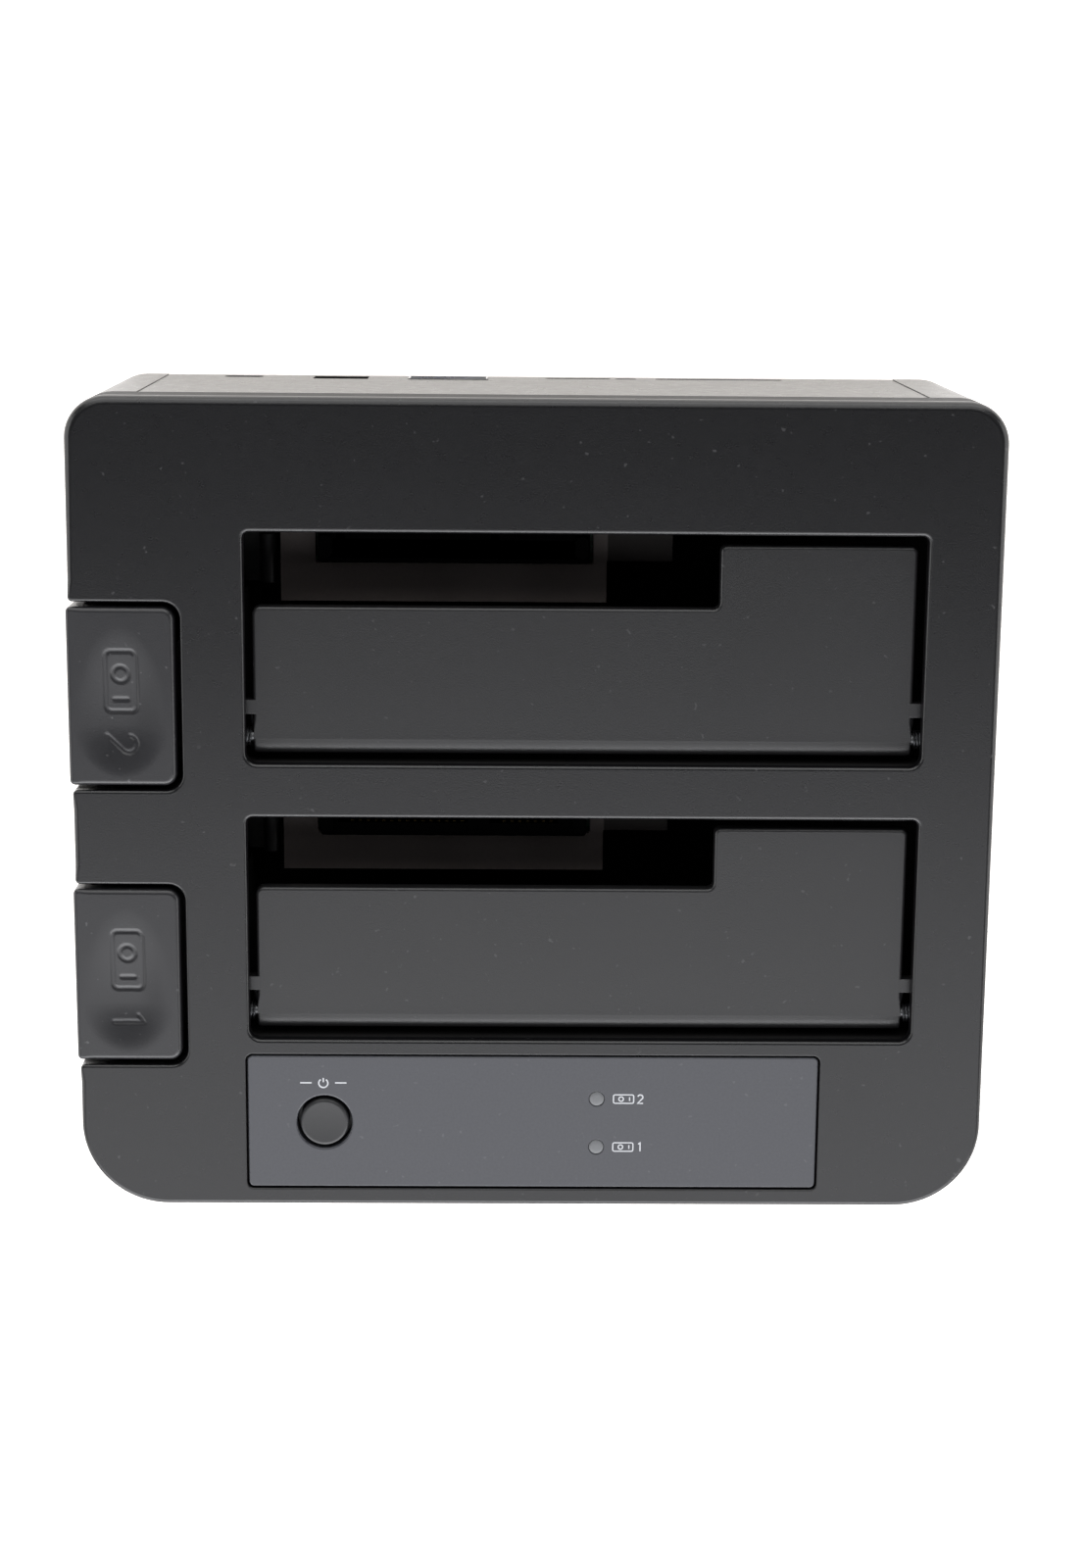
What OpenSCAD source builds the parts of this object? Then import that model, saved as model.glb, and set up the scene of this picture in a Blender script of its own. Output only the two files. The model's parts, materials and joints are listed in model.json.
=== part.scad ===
// Two-bay top-loading drive dock: a low box with two spring-flap drive slots,
// two eject buttons, a glossy control panel and a rear socket panel.
// Millimetres. +Z is up, +Y is the rear, the eject buttons are at -X.
// The origin is on the desk, under the middle of the case.

/* [Case] */
// overall width of the case, left to right
body_w = 142.3; // [142.3:0.1:150]
// overall depth of the case, front to rear
body_d = 127.7; // [127.7:0.1:135]
// height of the top face above the desk
total_h = 54; // [54:0.1:60]
// height of the rubber feet below the case
foot_h = 2.8; // [2:0.1:4]
// thickness of the outer walls
wall = 2.2; // [1.8:0.1:2.4]
// height of the top cover, down to its seam
cap_h = 8.6; // [8:0.1:9]
// plan radius of the two rear corners
rear_r = 6.5; // [5:0.5:9]
// plan radius of the two front corners
front_r = 13.5; // [11:0.5:14]
// rounding of the top edge
edge_r = 1.3; // [0.8:0.1:1.6]

/* [Drive slots] */
// slot width, for a drive 101.6 wide
slot_w = 104; // [103:0.1:104.5]
// slot depth, for a drive 26.1 thick and the open flap beside it
slot_d = 35.8; // [35.4:0.1:36.2]
// sideways place of the slot centres
slot_x = 7.5; // [7.2:0.1:7.8]
// rear edge of the rear slot
slot_edge_y = 43.5; // [43.2:0.1:43.8]
// distance between the two slots
slot_pitch = 44.2; // [43.8:0.1:44.6]
// corner radius of the slots
slot_r = 1.8; // [1:0.1:2.4]
// depth of the connector platform below the top face
platform_drop = 22.7; // [21:0.1:24]

/* [Flaps] */
// flap width
flap_w = 101.6; // [101.2:0.1:101.7]
// how far the flap's top lies below the top face
flap_drop = 2.3; // [2.3:0.1:2.6]
// flap plate thickness
flap_t = 2.2; // [1.8:0.1:2.4]
// distance from the slot's rear edge to the hinge axis
hinge_back = 32.2; // [32:0.1:32.3]
// distance from the slot's rear edge to the flap's main edge
flap_back = 11.6; // [11:0.1:12]
// width of the flap's long tab
tab_w = 30.1; // [28:0.1:32]
// radius of the steel hinge pins
pin_r = 1; // [0.8:0.1:1]

/* [Controls] */
// eject button length along the side
button_d = 27.7; // [27:0.1:28]
// eject button travel
button_travel = 3.5; // [3:0.1:3.5]
// power button radius
power_r = 3.85; // [3.5:0.05:3.9]
// control panel width
panel_w = 90; // [88:0.5:91]
// control panel depth
panel_d = 21.7; // [21:0.1:22]

/* [Sockets] */
// height of the socket centres above the desk
port_z = 7.7; // [7.6:0.1:8]
// width of the power socket
dc_w = 9; // [8.6:0.1:9.4]
// width of the data socket's shell
usb_w = 13.1; // [13:0.1:13.2]

/* [Hidden] */
$fn = 48;
eps = 0.01;
fit = 0.05;

face_z = total_h;
deck_t = 2;
deck_under = face_z - deck_t;
seam_z = face_z - cap_h;
floor_t = 1.8;
floor_top = foot_h + floor_t;
side_x = body_w / 2;
rear_y = body_d / 2;

// drive wells, in the frame of one slot: y = 0 at the slot's rear edge
slot_left = slot_x - slot_w / 2;
slot_right = slot_x + slot_w / 2;
well_gap = 1.5;
well_t = 1.5;
well_left = slot_left - well_gap;
well_right = slot_right + well_gap;
well_floor = 18.6;
platform_z = face_z - platform_drop;
platform_t = 1.7;
platform_left = -40.6;
platform_right = 11.5;
platform_d = 13.7;
ledge_right = 22;
ledge_d = 7;
ledge_screw = [14.7, -3.6];
sata_x = -12.85;
sata_w = 42.9;
sata_d = 5.4;
sata_y = -4.2;
sata_top = platform_z + 4.7;
dock_board_z = 26.2;

// flaps
flap_x = slot_x - 0.1;
flap_left = flap_x - flap_w / 2;
flap_right = flap_x + flap_w / 2;
barrel_r = 2.3;
flap_top = face_z - flap_drop;
hinge_z = flap_top - barrel_r;
tab_back = 1.8;

// eject mechanism
button_y = -25.4;
button_left = -side_x - 0.4;
button_right = -55.1;
button_t = 3;
skirt_h = 14;
skirt_t = 2.4;
notch_d = button_d + 1.6;
notch_right = -54.2;
post_x = -62.2;
post_dy = 9.5;
post_r = 2;
shelf_z = 35;
shelf_t = 2;
leg_x = -63.5;
leg_y = -21.8;
arm_w = 5.6;
nose_y = -7;
nose_w = 8;
pivot_x = -56;
pivot_z = 27;
pivot_r = 1.5;

// control panel
panel_x = 0.1;
panel_y = -50;
panel_t = 1.5;
panel_top = face_z - 0.2;
ledge_t = 1.7;
power_x = -32.84;
power_y = -50.1;
power_travel = 1;
led_x = 10.2;
led_ys = [-46.1, -54.1];
front_board_z = 44.4;
switch_top = front_board_z + 1.6 + 2.3;
front_screw_x = [-41, 18];

// sockets and main board
board_t = 1.6;
board_z = port_z - board_t / 2;
dc_x = -32.1;
usb_x = -14.35;
io_left = -61;
io_right = 60;

boss_xy = [[-63.2, 55.2], [63.6, 55.2], [-60.5, -50.5], [60.5, -50.5]];
foot_xy = [[-52, 54], [52, 54], [-49, -53], [49, -53]];
board_hole_xy = [[-54, 24.5], [46, 24.5], [-54, 45], [46, 45]];
well_screw_xy = [[-50.8, -6], [-50.8, -22], [65, -8], [65, -24]];

// ---------- shared shapes ----------

// y of the rear edge of slot i, 0 = rear, 1 = front
function slot_edge(i) = slot_edge_y - i * slot_pitch;

module at_slot(i) {
    translate([0, slot_edge(i), 0]) children();
}

// a box from its low corner to its high corner
module span(lo, hi) {
    translate(lo) cube([hi[0] - lo[0], hi[1] - lo[1], hi[2] - lo[2]]);
}

// flat outline with four round corners, centred
module round_rect(w, d, r) {
    square([w - 2 * r, d], center = true);
    square([w, d - 2 * r], center = true);
    for (x = [-1, 1], y = [-1, 1])
        translate([x * (w / 2 - r), y * (d / 2 - r)]) circle(r);
}

// flat outline of the case, shrunk by g
module case_outline(g) {
    rr = rear_r - g;
    fr = max(front_r - g, 1);
    w = side_x - g;
    d = rear_y - g;
    union() {
        translate([-w, -d + fr]) square([2 * w, 2 * d - fr - rr]);
        translate([-w + fr, -d]) square([2 * (w - fr), fr + 1]);
        translate([-w + rr, d - rr - 1]) square([2 * (w - rr), rr + 1]);
        for (s = [-1, 1]) {
            translate([s * (w - fr), -d + fr]) circle(fr);
            translate([s * (w - rr), d - rr]) circle(rr);
        }
    }
}

// one rounded corner of the top cover's outer form
module soft_corner(r) {
    cylinder(r = r, h = cap_h - edge_r);
    translate([0, 0, cap_h - edge_r]) rotate_extrude() {
        translate([r - edge_r, 0]) intersection() {
            circle(edge_r, $fn = 24);
            square(edge_r);
        }
        square([r - edge_r, edge_r]);
    }
}

// the outer form of the top cover, with a rounded top edge
module cap_solid() {
    translate([0, 0, seam_z]) hull()
        for (s = [-1, 1]) {
            translate([s * (side_x - front_r), -rear_y + front_r, 0]) soft_corner(front_r);
            translate([s * (side_x - rear_r), rear_y - rear_r, 0]) soft_corner(rear_r);
        }
}

// a self-tapping screw: head below, shank up
module screw(head_r, head_h, shank_r, length) {
    cylinder(r = head_r, h = head_h);
    translate([0, 0, head_h - eps]) cylinder(r = shank_r, h = length + eps);
}

// points of a coil about Z
function coil_path(r, pitch, turns, steps) =
    [for (k = [0 : turns * steps]) let (a = 360 * k / steps)
        [r * cos(a), r * sin(a), pitch * k / steps]];

function unit(v) = v / norm(v);
function tangent(p, k) = unit(p[min(k + 1, len(p) - 1)] - p[max(k - 1, 0)]);

// round wire along a path, with its ends closed
module wire(path, r, sides = 6) {
    n = len(path);
    rings = [for (k = [0 : n - 1]) let (
            t = tangent(path, k),
            up = abs(t[2]) < 0.9 ? [0, 0, 1] : [1, 0, 0],
            u = unit(cross(up, t)),
            v = cross(t, u))
        [for (j = [0 : sides - 1]) path[k] + r * (cos(360 * j / sides) * u + sin(360 * j / sides) * v)]];
    points = [for (ring = rings) each ring];
    walls = [for (k = [0 : n - 2], j = [0 : sides - 1]) let (jj = (j + 1) % sides)
        each [[k * sides + j, (k + 1) * sides + jj, k * sides + jj],
              [k * sides + j, (k + 1) * sides + j, (k + 1) * sides + jj]]];
    first = [for (j = [1 : sides - 2]) [0, j, j + 1]];
    last = [for (j = [1 : sides - 2]) [(n - 1) * sides, (n - 1) * sides + j + 1, (n - 1) * sides + j]];
    polyhedron(points = points, faces = concat(walls, first, last));
}

// ---------- case ----------

module slot_cut(i) {
    at_slot(i) translate([slot_x, -slot_d / 2, deck_under - 1])
        linear_extrude(deck_t + 2) round_rect(slot_w, slot_d, slot_r);
}

module button_notch(i, z0, z1) {
    at_slot(i) span([-side_x - 2, button_y - notch_d / 2, z0], [notch_right, button_y + notch_d / 2, z1]);
}

module top_cover() {
    color("#2b2c30")
    difference() {
        union() {
            difference() {
                cap_solid();
                translate([0, 0, seam_z - 1]) linear_extrude(cap_h - deck_t + 1) case_outline(wall);
            }
            // lip that drops inside the lower case
            translate([0, 0, seam_z - 2]) difference() {
                union() {
                    linear_extrude(3) case_outline(wall + 0.15);
                    translate([0, 0, 2]) linear_extrude(2) case_outline(wall - 0.3);
                }
                translate([0, 0, -1]) linear_extrude(6) case_outline(wall + 1.3);
                for (i = [0, 1])
                    translate([0, 0, -seam_z]) button_notch(i, 30, 60);
                for (i = [0, 1])
                    at_slot(i) span([-side_x, button_y - 17, -1], [-60, button_y + 17, 5]);
                span([io_left - 1, rear_y - 5, -1], [io_right + 1, rear_y, 5]);
            }
            // ledge that carries the control panel
            translate([panel_x, panel_y, panel_top - panel_t - ledge_t])
                linear_extrude(ledge_t) round_rect(panel_w + 3, 22.6, 1);
            // posts for the case screws
            for (p = boss_xy)
                translate([p[0], p[1], 14]) cylinder(r = 3.4, h = deck_under - 14 + 0.5);
        }
        for (i = [0, 1]) {
            slot_cut(i);
            button_notch(i, seam_z - 6, face_z + 1);
        }
        translate([panel_x, panel_y, panel_top - panel_t])
            linear_extrude(4) round_rect(panel_w + 0.6, panel_d + 0.6, 1.1);
        translate([power_x, power_y, 45]) cylinder(r = power_r + 0.55, h = 10);
        for (y = led_ys)
            translate([led_x, y, 45]) cylinder(r = 1.4, h = 10);
        for (p = boss_xy)
            translate([p[0], p[1], 13]) cylinder(r = 1.4, h = 13);
    }
}

module lower_case() {
    color("#232427")
    difference() {
        union() {
            difference() {
                union() {
                    translate([0, 0, foot_h + 1]) linear_extrude(seam_z - foot_h - 1) case_outline(0);
                    translate([0, 0, foot_h + 0.5]) linear_extrude(1) case_outline(0.4);
                    translate([0, 0, foot_h]) linear_extrude(1) case_outline(1);
                }
                translate([0, 0, floor_top]) linear_extrude(60) case_outline(wall);
            }
            for (p = boss_xy)
                translate([p[0], p[1], floor_top - eps]) cylinder(r = 3.4, h = 13.9 - floor_top);
            // inner walls behind the eject button skirts
            for (i = [0, 1])
                at_slot(i) span([-side_x + 1, button_y - notch_d / 2 - 1.4, 32],
                                [-67.4, button_y + notch_d / 2 + 1.4, seam_z - 0.05]);
        }
        // openings for the eject button skirts
        for (i = [0, 1])
            at_slot(i)
                span([-side_x - 1, button_y - notch_d / 2, face_z - skirt_h - button_travel - 0.5],
                     [-68.8, button_y + notch_d / 2, 60]);
        // opening for the rear panel
        span([io_left - 0.1, rear_y - wall, foot_h - 1], [io_right + 0.1, rear_y + 1, 60]);
        // grooves that hold the rear panel's edges
        span([io_left - 1.2, rear_y - wall - 0.1, floor_top], [io_right + 1.2, rear_y - 1.4, 60]);
        for (p = boss_xy) {
            translate([p[0], p[1], 0]) cylinder(r = 1.7, h = 20);
            translate([p[0], p[1], foot_h - 1]) cylinder(r = 3, h = 4.6 + 1 - 1.6);
        }
        for (p = board_hole_xy)
            translate([p[0], p[1], foot_h + 0.8]) cylinder(r = 1.1, h = 10);
        for (p = foot_xy)
            translate([p[0], p[1], foot_h - 1]) cylinder(r = 5.2, h = 1.7);
        // cooling slots in the floor
        for (x = [-30 : 8 : 34])
            translate([x, 0, 0]) linear_extrude(20) round_rect(2.4, 26, 1.15);
    }
}

module rear_panel() {
    color("#2e2f33")
    difference() {
        union() {
            span([io_left + 0.1, rear_y - 1.3, foot_h + 0.1],
                 [io_right - 0.1, rear_y - 0.15, seam_z - 0.1]);
            span([io_left - 1, rear_y - wall, floor_top + 0.2],
                 [io_right + 1, rear_y - 1.5, seam_z - 0.1]);
            span([io_left + 0.1, rear_y - 1.6, foot_h + 2],
                 [io_right - 0.1, rear_y - 1.2, seam_z - 0.1]);
        }
        translate([dc_x, rear_y, port_z]) cube([dc_w, 8, 6], center = true);
        translate([usb_x, rear_y, port_z]) cube([usb_w + 0.1, 8, 5.8], center = true);
        // security slot
        translate([-48.3, rear_y + 2, 6.5]) rotate([90, 0, 0]) linear_extrude(8) round_rect(6.4, 3, 0.8);
        // low cooling slots
        for (v = [[7.2, 11], [15.2, 3.6], [30.7, 21.2]])
            translate([v[0], rear_y + 2, 6.2]) rotate([90, 0, 0])
                linear_extrude(8) round_rect(v[1], 1.8, 0.8);
    }
}

module rubber_feet() {
    color("#17181a")
    for (p = foot_xy)
        translate([p[0], p[1], 0]) {
            cylinder(r = 4.6, h = 0.6);
            translate([0, 0, 0.5]) cylinder(r = 5.1, h = foot_h + 0.2);
        }
}

module case_screws() {
    color("#8d9096")
    for (p = boss_xy)
        translate([p[0], p[1], foot_h + 1]) screw(2.7, 1.9, 1.38, 17);
}

// ---------- drive wells ----------

module drive_well(i) {
    color("#1d1e21")
    at_slot(i) difference() {
        union() {
            difference() {
                span([well_left - well_t, -slot_d - well_t, well_floor - well_t],
                     [well_right + well_t, well_t, deck_under - 0.1]);
                span([well_left, -slot_d, well_floor], [well_right, 0, 60]);
                // opening in the floor, below the platform
                span([platform_left + well_t, -platform_d + well_t, 0], [platform_right - well_t, 0, 30]);
            }
            // ears for the screws up into the standoffs
            for (p = well_screw_xy)
                if (p[0] < 0)
                    span([p[0] - 2.4, p[1] - 3, 45.9], [well_left - well_t + eps, p[1] + 3, 47.9]);
                else
                    span([well_right + well_t - eps, p[1] - 3, 45.9], [p[0] + 2.4, p[1] + 3, 47.9]);
            // bosses for the flap's pin
            for (x = [well_left - well_t - 2, well_right + well_t - eps])
                translate([x, -hinge_back, hinge_z]) rotate([0, 90, 0]) cylinder(r = 2.5, h = 2 + eps);
        }
        // way through for the lever
        span([well_left - well_t - 1, nose_y - nose_w / 2 - 0.5, 24.4],
             [well_left + 1, nose_y + nose_w / 2 + 0.4, 39]);
        for (p = well_screw_xy)
            translate([p[0], p[1], 40]) cylinder(r = 1.3, h = 10);
        translate([well_left - 10, -hinge_back, hinge_z]) rotate([0, 90, 0]) cylinder(r = pin_r, h = 130);
    }
}

module drive_well_rear() {
    drive_well(0);
}

module drive_well_front() {
    drive_well(1);
}

// raised step in the well that carries the drive's receptacle
module dock_platform(i) {
    color("#202125")
    at_slot(i) difference() {
        union() {
            difference() {
                span([platform_left, -platform_d, well_floor], [platform_right, 0, platform_z]);
                span([platform_left + well_t, -platform_d + well_t, 0],
                     [platform_right - well_t, 1, platform_z - platform_t]);
            }
            // ledge at the platform's right end
            span([platform_right - eps, -ledge_d, platform_z - platform_t], [ledge_right, 0, platform_z]);
            translate([ledge_screw[0], ledge_screw[1], dock_board_z + board_t]) cylinder(r = 2.4, h = 2.4);
        }
        // slot for the receptacle
        span([sata_x - 22.15, sata_y - 3.3, 20], [sata_x + 22.15, sata_y + 3.3, 40]);
        // blind screw hole below the ledge
        translate([ledge_screw[0], ledge_screw[1], 20]) cylinder(r = 1.1, h = platform_z - 20.6);
        // way through for the connector board's ear
        span([platform_right - well_t - 1, -7, dock_board_z - 0.2],
             [platform_right + 1, -0.3, dock_board_z + board_t + 0.2]);
    }
}

module dock_platform_rear() {
    dock_platform(0);
}

module dock_platform_front() {
    dock_platform(1);
}

// bracket on the well's left wall that guides the eject button and holds the lever's pin
module button_bracket(i) {
    color("#26272b")
    at_slot(i) difference() {
        union() {
            span([-67, button_y - 13, shelf_z],
                 [well_left - well_t - 0.5, button_y + 13, shelf_z + shelf_t]);
            for (s = [-1, 1])
                translate([post_x, button_y + s * post_dy, shelf_z - 4]) cylinder(r = 3.4, h = 4.5);
            // plate against the well
            span([well_left - well_t - 1.5, button_y - 13, 20.5],
                 [well_left - well_t, -0.4, shelf_z + shelf_t]);
            // lugs that hold the pin
            for (y = [leg_y - arm_w / 2 - 1.5, nose_y + nose_w / 2 + 1.5])
                span([pivot_x - 2.8, y - 1.1, pivot_z - 3],
                     [well_left - well_t - 0.5, y + 1.1, shelf_z + eps]);
        }
        // way through for the lever
        span([well_left - well_t - 3, nose_y - nose_w / 2 - 0.5, 24.4],
             [well_left, nose_y + nose_w / 2 + 0.4, 39]);
        // the button's leg passes the shelf
        span([leg_x - 1.5, leg_y - 2.7, shelf_z - 1], [leg_x + 1.5, leg_y + 2.7, shelf_z + 4]);
        for (s = [-1, 1])
            translate([post_x, button_y + s * post_dy, 20]) cylinder(r = post_r + fit, h = 30);
        translate([pivot_x, 1, pivot_z]) rotate([90, 0, 0]) cylinder(r = pivot_r, h = 30);
    }
}

module button_bracket_rear() {
    button_bracket(0);
}

module button_bracket_front() {
    button_bracket(1);
}

// round standoff from z0 up to z1, with a screw hole from below that stops `cap` short of its top
module standoff(r, hole, z0, z1, cap) {
    difference() {
        translate([0, 0, z0]) cylinder(r = r, h = z1 - z0);
        translate([0, 0, z0 - 1]) cylinder(r = hole, h = z1 - z0 + 1 - cap);
    }
}

module standoffs() {
    color("#b08d45")
    union() {
        for (i = [0, 1], p = well_screw_xy)
            at_slot(i) translate([p[0], p[1], 0]) standoff(2.3, 1.1, 48, deck_under, 0.5);
        for (x = front_screw_x)
            translate([x, panel_y, 0])
                standoff(2.2, 0.9, front_board_z + board_t, panel_top - panel_t - ledge_t, 0.4);
        for (p = board_hole_xy)
            translate([p[0], p[1], 0]) standoff(2.6, 1.1, floor_top, board_z, -1);
    }
}

module well_screws() {
    color("#a6a9ae")
    for (i = [0, 1]) {
        for (p = well_screw_xy)
            at_slot(i) translate([p[0], p[1], 44.5]) screw(2, 1.4, 1.08, 5.2);
        at_slot(i) translate([ledge_screw[0], ledge_screw[1], dock_board_z - 1.2])
            screw(1.9, 1.2, 1.08, 4.2);
    }
}

// ---------- flaps ----------

module flap(i) {
    color("#303237")
    at_slot(i) difference() {
        union() {
            translate([flap_left, -hinge_back, hinge_z]) rotate([0, 90, 0])
                cylinder(r = barrel_r, h = flap_w);
            span([flap_left, -hinge_back, flap_top - flap_t], [flap_right, -flap_back, flap_top]);
            span([flap_right - tab_w, -hinge_back, flap_top - flap_t], [flap_right, -tab_back, flap_top]);
            // stop lugs under the deck
            span([flap_left - 2, -hinge_back + 3.9, flap_top - flap_t],
                 [flap_left + 1, -hinge_back + 6.1, flap_top]);
            span([flap_right - 1, -hinge_back + 3.9, flap_top - flap_t],
                 [flap_right + 2, -hinge_back + 6.1, flap_top]);
            // stiffening ribs below
            for (x = [flap_left + 4 : 18.6 : flap_right - 2])
                span([x - 0.6, -hinge_back, flap_top - flap_t - 0.9],
                     [x + 0.6, -flap_back - 2, flap_top - 1]);
        }
        translate([flap_left - 1, -hinge_back, hinge_z]) rotate([0, 90, 0])
            cylinder(r = pin_r + fit, h = flap_w + 2);
    }
}

module flap_rear() {
    flap(0);
}

module flap_front() {
    flap(1);
}

module flap_pins() {
    color("#b4b7bc")
    for (i = [0, 1])
        at_slot(i) translate([well_left - well_t - 2, -hinge_back, hinge_z])
            rotate([0, 90, 0]) cylinder(r = pin_r, h = slot_w + 2 * (well_gap + well_t + 2));
}

// torsion springs on the pin, in the gaps at both ends of the flap
module flap_springs(i) {
    color("#c3c6cb")
    at_slot(i) for (s = [0, 1])
        translate([s == 0 ? flap_left - 0.45 : flap_right + 0.45, -hinge_back, hinge_z])
            mirror([1 - s, 0, 0]) rotate([0, 90, 0])
                wire(concat([[0.13, 4.6, 0], [0.5, 2.8, 0]], coil_path(1.32, 0.46, 4, 14),
                            [[1.6, -1.6, 1.88], [1.7, -3.2, 1.88]]), 0.2);
}

module flap_springs_rear() {
    flap_springs(0);
}

module flap_springs_front() {
    flap_springs(1);
}

// ---------- connectors and boards ----------

// L-shaped slot of the receptacle, w wide
module l_slot(w) {
    span([0, -0.65, 0], [w, 0.65, 20]);
    span([0, -0.65, 0], [1.3, 1.9, 20]);
}

module sata_receptacle(i) {
    color("#121315")
    at_slot(i) translate([sata_x, sata_y, dock_board_z + board_t]) difference() {
        union() {
            linear_extrude(sata_top - dock_board_z - board_t) round_rect(sata_w, sata_d, 0.6);
            for (s = [-1, 1])
                translate([s * (sata_w / 2 - 1.2), 0, 0])
                    linear_extrude(sata_top - dock_board_z - board_t + 1.4) round_rect(2, 3.6, 0.8);
        }
        translate([-18.6, 0, 2.4]) l_slot(21);
        translate([5.8, 0, 2.4]) l_slot(11);
    }
}

module sata_receptacle_rear() {
    sata_receptacle(0);
}

module sata_receptacle_front() {
    sata_receptacle(1);
}

module sata_contacts() {
    color("#c9a648")
    for (i = [0, 1]) {
        at_slot(i) translate([sata_x, sata_y, dock_board_z + board_t]) {
            for (k = [0 : 14])
                span([-16.6 + k * 1.27, -0.65, 2.4], [-16.1 + k * 1.27, -0.4, 7.4]);
            for (k = [0 : 6])
                span([7.9 + k * 1.27, -0.65, 2.4], [8.4 + k * 1.27, -0.4, 7.4]);
        }
    }
}

module dock_board(i) {
    color("#1f4a34")
    at_slot(i) difference() {
        union() {
            span([platform_left + well_t + 0.3, -platform_d + well_t + 0.3, dock_board_z],
                 [platform_right - well_t - 0.3, -0.4, dock_board_z + board_t]);
            span([0, -6.6, dock_board_z], [ledge_screw[0] + 2.6, -0.6, dock_board_z + board_t]);
        }
        translate([ledge_screw[0], ledge_screw[1], 20]) cylinder(r = 1.2, h = 20);
    }
}

module dock_board_rear() {
    dock_board(0);
}

module dock_board_front() {
    dock_board(1);
}

// pin headers that carry each dock board's lines down
module riser_headers() {
    color("#191a1c")
    for (i = [0, 1])
        at_slot(i) span([-24, -11.6, board_z + board_t], [-2, -6.8, dock_board_z]);
}

module main_board() {
    color("#1f4a34")
    difference() {
        union() {
            span([-58, 20, board_z], [50, rear_y - wall - 0.4, board_z + board_t]);
            span([-30, -24, board_z], [4, 21, board_z + board_t]);
        }
        span([dc_x - dc_w / 2 - 0.15, rear_y - 15.4, 0], [dc_x + dc_w / 2 + 0.15, rear_y, 20]);
        span([usb_x - usb_w / 2 - 0.15, rear_y - 18.4, 0], [usb_x + usb_w / 2 + 0.15, rear_y, 20]);
        for (p = board_hole_xy)
            translate([p[0], p[1], 0]) cylinder(r = 1.4, h = 20);
    }
}

module board_screws() {
    color("#a6a9ae")
    for (p = board_hole_xy)
        translate([p[0], p[1], board_z + board_t + 1.3]) mirror([0, 0, 1]) screw(2.2, 1.3, 1.08, 4.2);
}

module controller_chips() {
    color("#101113")
    for (c = [[12, 40, 10, 10], [30, 33, 7, 7], [34, 50, 5, 6], [-44, 33, 6, 5], [-4, 28, 5, 5]])
        translate([c[0], c[1], board_z + board_t + 0.6]) cube([c[2], c[3], 1.2], center = true);
}

module capacitors() {
    color("#3c4a73")
    for (c = [[-44, 43, 3.1], [-44, 51.5, 2.5], [24, 52, 2.5], [4, 52, 2]])
        translate([c[0], c[1], board_z + board_t]) cylinder(r = c[2], h = 7);
}

module power_coils() {
    color("#47484c")
    for (c = [[-52, 38, 6], [42, 40, 5]])
        translate([c[0], c[1], board_z + board_t + 1.6]) linear_extrude(3.2, center = true)
            round_rect(c[2], c[2], 0.8);
}

// ---------- sockets ----------

module dc_jack() {
    color("#0e0f10")
    translate([dc_x, rear_y - 0.5, port_z]) difference() {
        translate([-dc_w / 2 + 0.05, -14.4, -2.95]) cube([dc_w - 0.1, 14.4, 5.9]);
        translate([0, 1, 0]) rotate([90, 0, 0]) cylinder(r = 2.75, h = 10.5);
    }
}

module dc_jack_pin() {
    color("#c9ccd1")
    translate([dc_x, rear_y - 10, port_z]) rotate([-90, 0, 0]) cylinder(r = 1.05, h = 8.6);
}

module usb_shell() {
    color("#c4c7cc")
    translate([usb_x, rear_y, port_z]) difference() {
        translate([-usb_w / 2, -18, -2.85]) cube([usb_w, 18, 5.7]);
        translate([-usb_w / 2 + 0.3, -17.7, -2.55]) cube([usb_w - 0.6, 20, 5.1]);
    }
}

module usb_tongue() {
    color("#2a4f9c")
    translate([usb_x, rear_y - 1, port_z]) {
        translate([-5.6, -8.8, 0.5]) cube([11.2, 8.8, 1.6]);
        translate([-usb_w / 2 + 0.3, -16.7, -2.55]) cube([usb_w - 0.6, 8, 5.1]);
    }
}

// ---------- eject mechanism ----------

module eject_button(i) {
    color("#2f3136")
    at_slot(i) translate([0, button_y, 0]) {
        difference() {
            union() {
                translate([(button_left + button_right) / 2, 0, face_z - button_t])
                    linear_extrude(button_t) round_rect(button_right - button_left, button_d, 1.8);
                // skirt down the side of the case, with tighter outer corners
                translate([button_left + 4, 0, face_z - button_t])
                    linear_extrude(button_t) round_rect(8, button_d, 0.8);
                span([button_left, -button_d / 2 + 0.8, face_z - skirt_h],
                     [button_left + skirt_t, button_d / 2 - 0.8, face_z - 1]);
                span([button_left + 0.25, -button_d / 2 + 0.25, face_z - skirt_h],
                     [button_left + skirt_t, button_d / 2 - 0.25, face_z - 1]);
            }
            // finger scoop: two balls and the trough between them
            for (s = [-1, 1])
                translate([-63.5, s * 6.5, face_z + 10.9]) sphere(12);
            translate([-63.5, 6.5, face_z + 10.9]) rotate([90, 0, 0]) cylinder(r = 12, h = 13);
        }
        for (s = [-1, 1])
            translate([post_x, s * post_dy, 0]) {
                translate([0, 0, 29]) cylinder(r = post_r, h = face_z - button_t - 29 + eps);
                translate([0, 0, 28.6]) cylinder(r = 2.7, h = 2.1);
            }
        // leg that presses the lever
        translate([leg_x, leg_y - button_y, 0]) {
            span([-1, -2.2, 29.5], [1, 2.2, face_z - button_t + eps]);
            translate([0, 2.2, 29.5]) rotate([90, 0, 0]) cylinder(r = 1, h = 4.4);
        }
    }
}

module eject_button_rear() {
    eject_button(0);
}

module eject_button_front() {
    eject_button(1);
}

module eject_springs(i) {
    color("#c3c6cb")
    at_slot(i) for (s = [-1, 1])
        translate([post_x, button_y + s * post_dy, shelf_z + shelf_t + 0.3])
            wire(coil_path(2.65, 1.9, 7, 14), 0.28);
}

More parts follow.
